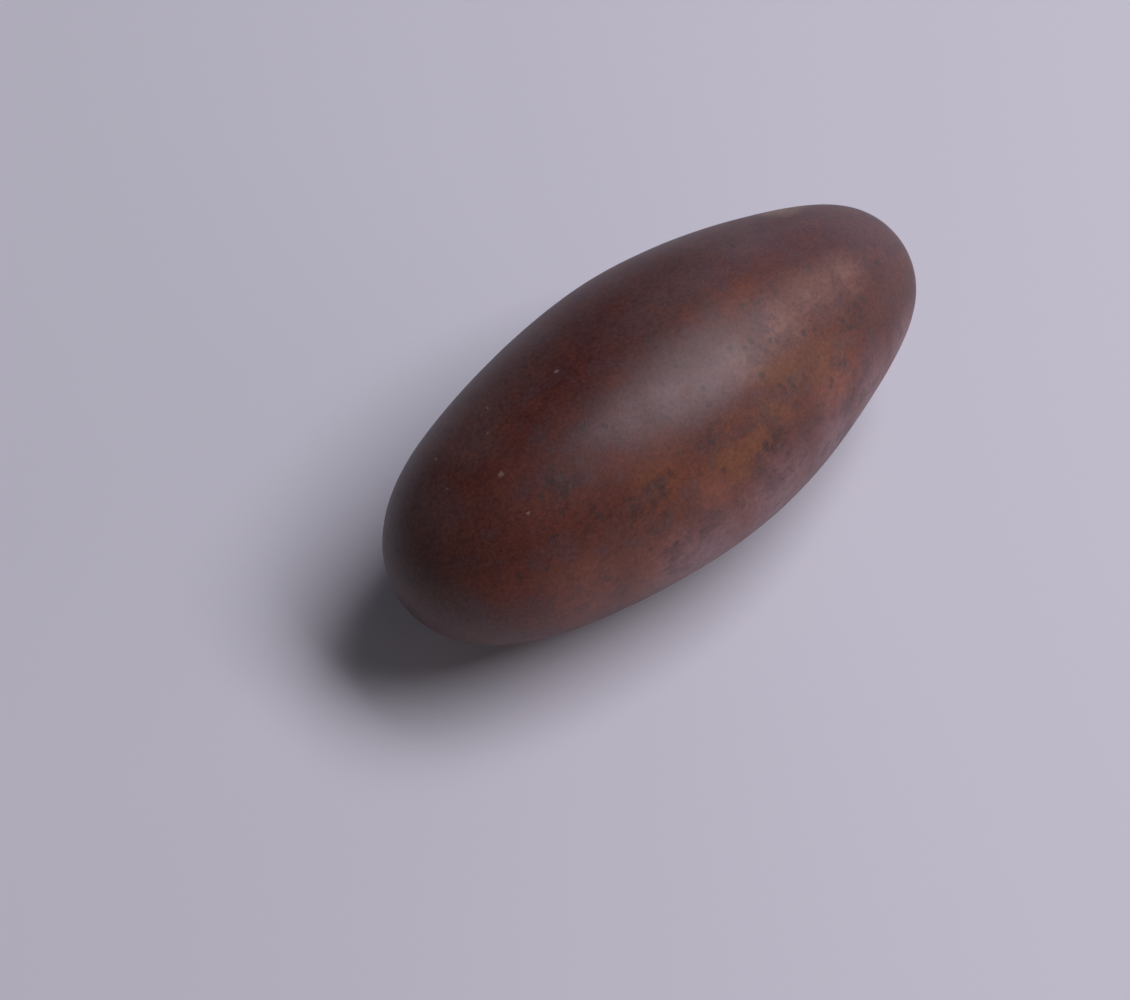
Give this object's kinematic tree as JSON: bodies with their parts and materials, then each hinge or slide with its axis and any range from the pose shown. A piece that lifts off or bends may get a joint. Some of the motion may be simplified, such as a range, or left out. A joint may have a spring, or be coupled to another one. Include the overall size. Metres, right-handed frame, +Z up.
{
  "type": "shiva lingam stone",
  "caption": "Long egg-shaped river stone, ground smooth and honed, lying on its side on a small flat spot; held in the hand or set out as a devotional or display piece.",
  "frame": {"origin": "on the surface the stone lies on, below the middle of its bounding box", "axes": "+X along the stone's long axis, from its fuller end to its leaner end; +Z up as it lies; +Y across it"},
  "size_m": [0.125, 0.058, 0.056],
  "materials": {
    "stone": "honed to a satin, dark maroon-brown with ochre clouds and fine dark specks"
  },
  "bodies": {
    "root": {"shiva_lingam": "stone"}
  },
  "joints": []
}
